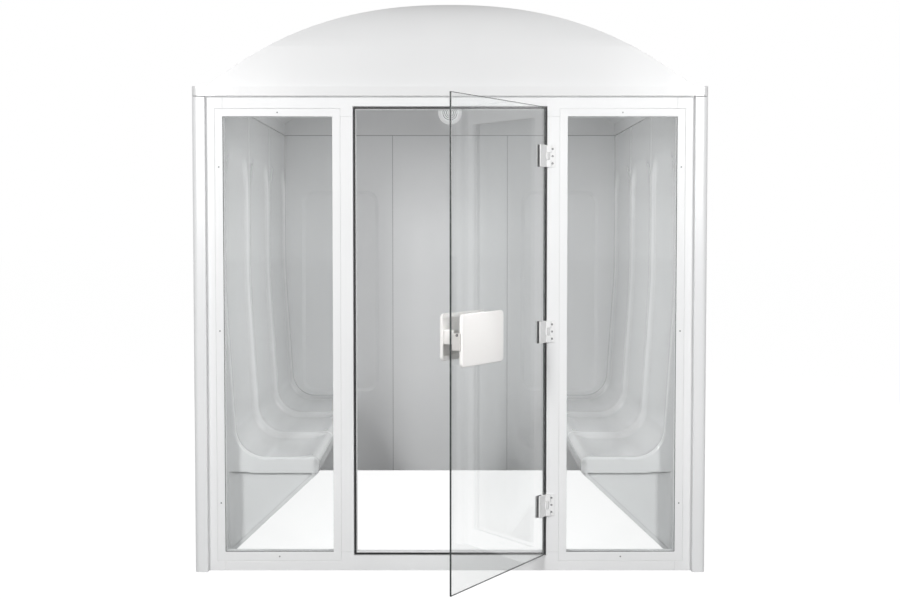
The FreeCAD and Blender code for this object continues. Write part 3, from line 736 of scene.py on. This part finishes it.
# %% [markdown]
# ## The bench modules
# A module's grid has its rows close together near the ends, where the sheet bends, and farther apart along
# the even middle, which keeps the mesh small. The points lie on the visible face, and a Solidify modifier
# puts the sheet's five millimetres behind it, so the thickness never changes the shape that is seen.

# %% Rows of a bench
bench_dense, bench_coarse = 0.006, 0.030
roll_steps = 5


def stations(length):
    """Rows of the grid: rolled edge at the front, the run of the seat, rolled edge at the joint."""
    rows = [("front", math.pi / 2 * (1 - step / roll_steps)) for step in range(roll_steps)]
    along, far = end_round, length - joint_round
    while along < far - bench_dense / 2:
        rows.append(("run", (along - end_round) / (far - end_round)))
        near = min(along, length - along)
        along += bench_dense if near < hollow_margin + hollow_side / 2 else bench_coarse
    rows.append(("run", 1.0))
    return rows + [("joint", math.pi / 2 * step / roll_steps) for step in range(1, roll_steps + 1)]


def row_place(row, radius, length):
    """Distance along the module and sinking into the wall for a row where the front edge has this radius."""
    zone, value = row
    if zone == "front":
        return radius * (1 - math.sin(value)), radius * (1 - math.cos(value))
    if zone == "joint":
        return length - joint_round * (1 - math.sin(value)), joint_round * (1 - math.cos(value))
    return radius + value * (length - joint_round - radius), 0.0


def into_wall(k):
    """Direction from the room into the sheet at point k of the section."""
    way = (section[min(k + 1, len(section) - 1)] - section[max(k - 1, 0)]).normalized()
    return Vector((-way.y, way.x))


low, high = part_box("right_front_bench")
print("rows of a front bench:", len(stations(high.y - low.y)))


# %% Bench modules
def bench_sheet(name, side):
    """Pressed sheet of one module; side is 1 on the right and -1 on the left."""
    low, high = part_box(name)
    length, at_front = high.y - low.y, "front" in name
    rows, wide = stations(length), len(section)
    points = []
    for row in rows:
        for k, spot in enumerate(section):
            along, sink = row_place(row, roll_at(k, at_front), length)
            deep = spot + into_wall(k) * (sink + hollow_at(section_run[k], along, length))
            points.append((side * deep.x, low.y + along, deep.y))
    faces = [(r * wide + k, r * wide + k + 1, (r + 1) * wide + k + 1, (r + 1) * wide + k)
             for r in range(len(rows) - 1) for k in range(wide - 1)]
    if at_front:
        faces += end_plate(points, side, low.y)
    if side > 0:
        faces = [face[::-1] for face in faces]
    mesh = bpy.data.meshes.new(name + "_sheet")
    mesh.from_pydata(points, [], faces)
    piece = new_piece(name + "_sheet", mesh, [finish_of["acrylic_white"]], "cabin", [name])
    for face in mesh.polygons:
        face.use_smooth = len(face.vertices) > 3
    thicken = piece.modifiers.new("sheet", "SOLIDIFY")
    thicken.thickness, thicken.offset = sheet_thickness, -1
    return piece


benches = [bench_sheet(side + "_" + place + "_bench", 1 if side == "right" else -1)
           for side in ("left", "right") for place in ("front", "middle", "rear")]
print("benches:", {piece.name: len(piece.data.polygons) for piece in benches})

# %% [markdown]
# ## The door leaf
# The leaf is one sheet of toughened glass, eight millimetres thick. Its edges are ground flat and the corners
# are taken off, which leaves a narrow dull strip all round, coloured nearly black as painted shade: that strip
# draws the thin line round the leaf, because the sheet itself is almost invisible. The door is easiest to
# draw shut, so each door piece is drawn flat against the frame and then turned about the hinge to the angle
# it rests at.

# %% Door leaf
arris = 0.0015
flat_face = 0.99
swing = frame["joints"][0]
pivot = Vector(swing["pos_m"])
to_open = (Matrix.Translation(pivot) @ Matrix.Rotation(-math.radians(swing["range_deg"][0]), 4, "Z")
           @ Matrix.Translation(-pivot))


def shut_box(name):
    """Lowest and highest corner of a door piece with the door shut."""
    spots = [to_open.inverted() @ vertex.co for vertex in nodes[name].data.vertices]
    return (Vector(pick(spot[k] for spot in spots) for k in range(3)) for pick in (min, max))


def opened(mesh):
    """The mesh, turned from the shut door to the door at rest."""
    mesh.transform(to_open)
    return mesh


def sheet_ring(low, high, inset, y):
    """Corners of an upright rectangle, drawn in by the inset."""
    return [(x, y, z) for x, z in ((low.x + inset, low.z + inset), (high.x - inset, low.z + inset),
                                   (high.x - inset, high.z - inset), (low.x + inset, high.z - inset))]


leaf_low, leaf_high = shut_box("door_glass")
leaf_mesh = shell_of_rings("door_leaf", [
    sheet_ring(leaf_low, leaf_high, inset, y) for inset, y in (
        (arris, leaf_low.y), (0, leaf_low.y + arris), (0, leaf_high.y - arris), (arris, leaf_high.y))])
# The edge faces take the near-black finish, which is painted shade.
for face in leaf_mesh.polygons:
    face.material_index = 0 if abs(face.normal.y) > flat_face else 1
leaf = new_piece("door_leaf", opened(leaf_mesh), [finish_of["clear_glass"], glass_edge_painted_shade],
                 "door", ["door_glass"])
print("leaf:", len(leaf.data.polygons), "faces,", [round(side, 4) for side in leaf_high - leaf_low],
      "turned by", round(-swing["range_deg"][0], 1), "degrees")

# %% [markdown]
# ## The handle
# The handle is a pair of moulded plates, one on each side of the glass, held off it by blocks. A plate is
# thin at the face with a rim round its back, as a moulding has to be to cool evenly, and its front edge is
# well rounded for wet hands. Rings of a rounded rectangle give that: the floor of the hollow, its wall, the
# rim, the side, then a quarter turn onto the face. The inner plate is a little shorter at the bottom.

# %% Handle plates
plate_corner = 0.018
plate_edge = 0.0045
plate_ease = 0.001
plate_rim = (0.012, 0.018)
plate_hollow = 0.008
hollow_corner = 0.005
plate_shorter = {"door_handle_outer": 0.0, "door_handle_inner": 0.022}
corner_steps = 8
edge_steps = 5


def plate_ring(low, high, inset, corner, y):
    """Upright rounded rectangle with its own inset along x and along z."""
    ring = []
    for turn, x, z in ((180, low.x, low.z), (270, high.x, low.z), (0, high.x, high.z), (90, low.x, high.z)):
        centre_x = x + (inset[0] + corner) * (1 if x == low.x else -1)
        centre_z = z + (inset[1] + corner) * (1 if z == low.z else -1)
        for step in range(corner_steps + 1):
            angle = math.radians(turn + 90 * step / corner_steps)
            ring.append((centre_x + corner * math.cos(angle), y, centre_z + corner * math.sin(angle)))
    return ring


def handle_plate(name, outwards):
    """Plate with a hollow back; outwards is -1 outside the cabin and 1 inside."""
    low, high = shut_box(name)
    low.z += plate_shorter[name]
    back, face = (high.y, low.y) if outwards < 0 else (low.y, high.y)
    eased_rim = [rim - plate_ease for rim in plate_rim]
    rings = [plate_ring(low, high, plate_rim, hollow_corner, back + outwards * plate_hollow),
             plate_ring(low, high, plate_rim, hollow_corner, back + outwards * plate_ease),
             plate_ring(low, high, eased_rim, hollow_corner + plate_ease, back),
             plate_ring(low, high, (plate_ease, plate_ease), plate_corner - plate_ease, back),
             plate_ring(low, high, (0, 0), plate_corner, back + outwards * plate_ease)]
    for step in range(edge_steps + 1):
        angle = math.pi / 2 * step / edge_steps
        inset = plate_edge * (1 - math.cos(angle))
        rings.append(plate_ring(low, high, (inset, inset), plate_corner - inset,
                                face - outwards * plate_edge * (1 - math.sin(angle))))
    mesh = opened(shell_of_rings(name + "_plate", rings))
    return new_piece(name + "_plate", mesh, [finish_of["handle_white"]], "door", [name])


plates = [handle_plate("door_handle_outer", -1), handle_plate("door_handle_inner", 1)]
print("handle:", {plate.name: len(plate.data.polygons) for plate in plates})

# %% [markdown]
# ## The handle's blocks
# Two pairs of blocks hold the plates off the glass, one pair near each end. The outer block by the free edge
# is the bulkiest: it reaches almost to that edge and hangs a little lower, so that it covers the inner one
# when the open door is seen from the front. Each is a rounded rectangle pushed from the glass to the plate,
# with its end edges eased.

# %% Handle blocks
block_width = 0.034
block_corner = 0.006
block_ease = 0.0015
outer_edge_inset = 0.003
outer_hang = 0.009
inner_lift = 0.011

block_low, block_high = shut_box("handle_blocks")
outer_start = leaf_low.x + outer_edge_inset
near_end, far_start = block_low.x + block_width, block_high.x - block_width


def block_mesh(name, low, high):
    """Rounded block between two opposite corners, eased at the glass and at the plate."""
    eased_in = (block_ease, block_ease)
    return shell_of_rings(name, [
        plate_ring(low, high, eased_in, block_corner - block_ease, low.y),
        plate_ring(low, high, (0, 0), block_corner, low.y + block_ease),
        plate_ring(low, high, (0, 0), block_corner, high.y - block_ease),
        plate_ring(low, high, eased_in, block_corner - block_ease, high.y)])


def joined(name, meshes):
    """One mesh made of several."""
    form = bmesh.new()
    for mesh in meshes:
        form.from_mesh(mesh)
    whole = bpy.data.meshes.new(name)
    form.to_mesh(whole)
    form.free()
    return whole


outer_blocks = [
    block_mesh("outer_block", Vector((start, block_low.y, block_low.z - outer_hang)),
               Vector((end, leaf_low.y, block_high.z)))
    for start, end in ((outer_start, near_end), (far_start, block_high.x))]
inner_blocks = [
    block_mesh("inner_block", Vector((start, leaf_high.y, block_low.z + inner_lift)),
               Vector((end, block_high.y, block_high.z + inner_lift)))
    for start, end in ((block_low.x, near_end), (far_start, block_high.x))]
# The outer blocks take the greyer finish, which is painted shade from the outer plate.
for mesh in outer_blocks:
    for face in mesh.polygons:
        face.material_index = 1
blocks = new_piece("handle_block_set", opened(joined("handle_block_set", outer_blocks + inner_blocks)),
                   [finish_of["handle_white"], block_painted_shade], "door", ["handle_blocks"])
print("blocks:", len(blocks.data.polygons), "faces")

# %% [markdown]
# ## The light
# The light sits in the roof's rear end, behind a disc of pressed glass. Rings pressed into the disc spread
# the bulb's light, and they give the bright and dark arcs that show at the top of the doorway. The bulb is
# not lit, so here the bright is a painted glow in the glass and the dark is painted shade in the grooves. The
# disc is round about one axis, so its outline is drawn once from the rim to the middle and swept round. The
# ring round the lens is part of the can; its room side has its own finish, with a painted glow that
# brightens it in the shade of the vault.

# %% Ribbed lens
lens_ribs = 4
groove_share = 0.17
lens_rib_depth = 0.0022
lens_boss = 0.010
lens_steps = 6
lens_turns = 64

lens_low, lens_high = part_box("light_lens")
lens_axis = ((lens_low.x + lens_high.x) / 2, (lens_low.z + lens_high.z) / 2)
lens_radius = (lens_high.x - lens_low.x) / 2
rib_pitch = (lens_radius - lens_boss) / lens_ribs

# The ring's room side takes the bezel finish with its painted glow.
housing = nodes["light_housing"].data
housing.materials.append(bezel_painted_glow)
for face in housing.polygons:
    face.material_index = 1 if face.center.y < lens_high.y + lens_rib_depth else 0


def lens_ring(radius, y):
    """Circle round the lens axis."""
    turns = (2 * math.pi * k / lens_turns for k in range(lens_turns))
    return [(lens_axis[0] + radius * math.cos(turn), y, lens_axis[1] + radius * math.sin(turn))
            for turn in turns]


rings = [lens_ring(lens_radius, lens_high.y), lens_ring(lens_radius, lens_low.y + lens_rib_depth)]
for k in range(1, lens_ribs * lens_steps + 1):
    along = k / lens_steps
    crest = abs(math.sin(math.pi * along))
    rings.append(lens_ring(lens_radius - along * rib_pitch, lens_low.y + lens_rib_depth * (1 - crest)))
lens_mesh = shell_of_rings("ribbed_lens", rings)
# Faces in the grooves take the dark finish, which is painted shade.
for face in lens_mesh.polygons:
    reach = math.hypot(face.center.x - lens_axis[0], face.center.z - lens_axis[1])
    ribs_in = (lens_radius - reach) / rib_pitch
    in_groove = abs(ribs_in - round(ribs_in)) < groove_share
    face.material_index = 1 if in_groove and lens_boss < reach < lens_radius - rib_pitch / 2 else 0
lens = new_piece("ribbed_lens", lens_mesh, [finish_of["lens_glass"], lens_groove_painted_shade],
                 "cabin", ["light_lens"])
print("lens:", len(lens.data.polygons), "faces in", len(rings), "rings, radius", round(lens_radius, 4))

# %% [markdown]
# ## Screws
# Small screws hold the glazing beads, the hinge leaves, the clamps, the handle and the outer covers. They are
# one head repeated, so the head is drawn once, for a radius of one, and scaled wherever it is used. It is a
# low dome with a hexagon socket, which shows as a dark dot from a distance.

# %% Screw head
head_points = 24
socket_sides = 6
head_steps = ((1.0, -0.4, 0), (1.0, 0.1, 0), (0.93, 0.27, 0), (0.78, 0.40, 0), (0.60, 0.46, 0),
              (0.52, 0.44, socket_sides), (0.48, -0.2, socket_sides))


def head_ring(radius, level, sides):
    """Circle or, with sides above zero, a polygon with the same number of points, round the z axis."""
    ring = []
    for k in range(head_points):
        turn = 2 * math.pi * k / head_points
        reach = radius
        if sides:
            half = math.pi / sides
            reach = radius * math.cos(half) / math.cos(turn % (2 * half) - half)
        ring.append((reach * math.cos(turn), reach * math.sin(turn), level))
    return ring


head_mesh = shell_of_rings("screw_head", [head_ring(*step) for step in head_steps])
head_mesh.materials.append(screw_steel)
screw_head = bpy.data.objects.new("screw_head", head_mesh)
print("screw head:", len(head_mesh.polygons), "faces for a radius of one")

# %% [markdown]
# ## A tree that places screws
# A Geometry Nodes tree puts the head on every point of a cloud. Each point carries the way its screw faces
# and its radius, and a random turn keeps the sockets from lining up, because screws are never all stopped at
# the same angle. The heads are made real at the end, so that they can leave Blender as a plain mesh.

# %% Screw tree
tree_sockets = (("Geometry", "Geometry", "INPUT"), ("Head", "Object", "INPUT"),
                ("Finish", "Material", "INPUT"), ("Seed", "Int", "INPUT"), ("Geometry", "Geometry", "OUTPUT"))

screw_tree = bpy.data.node_groups.new("screws", "GeometryNodeTree")
for name, kind, way in tree_sockets:
    screw_tree.interface.new_socket(name, in_out=way, socket_type="NodeSocket" + kind)
tree = Wire(screw_tree)


def given(name):
    """Input of the tree."""
    return tree.node("NodeGroupInput", output=name)


def carried(name, kind):
    """Value that each point of the cloud carries."""
    return tree.node("GeometryNodeInputNamedAttribute", {"data_type": kind}, {"Name": name})


spin = tree.node("FunctionNodeRandomValue", {"data_type": "FLOAT"},
                 {3: 2 * math.pi, "Seed": given("Seed")}, 1)
spun = tree.node("ShaderNodeCombineXYZ", None, {"Z": spin})
turned = tree.node("FunctionNodeAlignEulerToVector", {"axis": "Z"},
                   {"Rotation": spun, "Vector": carried("facing", "FLOAT_VECTOR")})
shape = tree.node("GeometryNodeObjectInfo", None, {"Object": given("Head")}, "Geometry")
placed = tree.node("GeometryNodeInstanceOnPoints", None, {
    "Points": given("Geometry"), "Instance": shape, "Rotation": turned, "Scale": carried("radius", "FLOAT")})
solid = tree.node("GeometryNodeRealizeInstances", None, {"Geometry": placed})
dressed = tree.node("GeometryNodeSetMaterial", None, {"Geometry": solid, "Material": given("Finish")})
tree.node("NodeGroupOutput", None, {"Geometry": dressed})
print("screw tree:", len(screw_tree.nodes), "nodes")

# %% [markdown]
# ## Where the screws sit
# The beads have a screw at the top, at the bottom and three along the outer side. Each hinge has three in
# its jamb leaf and two through its clamps. The handle's outer block has one set screw, and the outer covers
# have a row along every edge. A place is a point, the way the screw faces and its radius. Those of the door
# are written with the door shut and then turned with it.

# %% Screws of the cabin
bead_screw, hinge_screw, cover_screw = 0.003, 0.004, 0.004
bead_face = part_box("right_window_beads")[0].y
bead_spots = ((0.7225, 1.9335), (0.7225, 0.0595), (0.9685, 0.288), (0.9685, 1.018), (0.9685, 1.706))
hinge_levels = (0.281, 1.016, 1.751)
jamb_line, jamb_face = 0.429, -0.035
jamb_steps = (-0.030, 0, 0.030)
cover_rows, cover_columns, cover_inset = 6, 7, 0.030
covers = {"left_outer_cover": (-1, 0, 0), "right_outer_cover": (1, 0, 0), "back_outer_cover": (0, 1, 0)}
out_of_front = Vector((0, -1, 0))


def cover_spots(cover, facing):
    """Places in rows round the edge of an outer cover."""
    low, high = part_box(cover)
    along = 1 if facing[0] else 0
    run, rise = (high[axis] - low[axis] - 2 * cover_inset for axis in (along, 2))
    spots = []
    for row in range(cover_rows):
        for column in range(cover_columns):
            if row in (0, cover_rows - 1) or column in (0, cover_columns - 1):
                spot = (high if sum(facing) > 0 else low).copy()
                spot[along] = low[along] + cover_inset + run * column / (cover_columns - 1)
                spot.z = low.z + cover_inset + rise * row / (cover_rows - 1)
                spots.append(spot)
    return spots


cabin_screws = [(Vector((side * x, bead_face, z)), out_of_front, bead_screw)
                for side in (-1, 1) for x, z in bead_spots]
cabin_screws += [(Vector((jamb_line, jamb_face, level + step)), out_of_front, hinge_screw)
                 for level in hinge_levels for step in jamb_steps]
cabin_screws += [(spot, Vector(facing), cover_screw)
                 for cover, facing in covers.items() for spot in cover_spots(cover, facing)]
print("places on the cabin:", len(cabin_screws))

# %% Screws of the door
set_screw, set_screw_share, set_screw_drop = 0.005, 0.67, 0.006
clamp_steps = (-0.026, 0.026)
into_room, to_free_edge = Vector((0, 1, 0)), Vector((-1, 0, 0))

clamp_low, clamp_high = shut_box("hinge_inner_clamps")
clamp_line = (clamp_low.x + clamp_high.x) / 2
door_screws = [(Vector((clamp_line, clamp_high.y, level + step)), into_room, hinge_screw)
               for level in hinge_levels for step in clamp_steps]
set_spot = Vector((outer_start, leaf_low.y + (block_low.y - leaf_low.y) * set_screw_share,
                   block_high.z - set_screw_drop))
door_screws.append((set_spot, to_free_edge, set_screw))
door_screws = [(to_open @ place, to_open.to_3x3() @ facing, radius) for place, facing, radius in door_screws]
print("places on the door:", len(door_screws))


# %% Screws in place
def screws(name, spots, body, seed):
    """One mesh of screw heads at the given places."""
    cloud = bpy.data.meshes.new(name + "_points")
    cloud.from_pydata([place for place, facing, radius in spots], [], [])
    for label, kind in (("facing", "FLOAT_VECTOR"), ("radius", "FLOAT")):
        cloud.attributes.new(label, kind, "POINT")
    for k, (place, facing, radius) in enumerate(spots):
        cloud.attributes["facing"].data[k].vector = facing
        cloud.attributes["radius"].data[k].value = radius
    maker = bpy.data.objects.new(name + "_points", cloud)
    scene.collection.objects.link(maker)
    spread = maker.modifiers.new("screws", "NODES")
    spread.node_group = screw_tree
    key = {socket.name: socket.identifier for socket in screw_tree.interface.items_tree
           if socket.in_out == "INPUT"}
    spread[key["Head"]], spread[key["Finish"]], spread[key["Seed"]] = screw_head, screw_steel, seed
    seen = maker.evaluated_get(bpy.context.evaluated_depsgraph_get())
    mesh = bpy.data.meshes.new_from_object(seen)
    maker.modifiers.remove(spread)
    bpy.data.objects.remove(maker)
    mesh.materials.clear()
    return new_piece(name, mesh, [screw_steel], body)


fasteners = [screws("cabin_screws", cabin_screws, "cabin", seed=3),
             screws("door_screws", door_screws, "door", seed=5)]
print("screws:", {piece.name: len(piece.data.polygons) for piece in fasteners})

# %% [markdown]
# ## Sizes
# A dressed piece may be a little larger than its construction shape, but the cabin as a whole should keep its
# size.
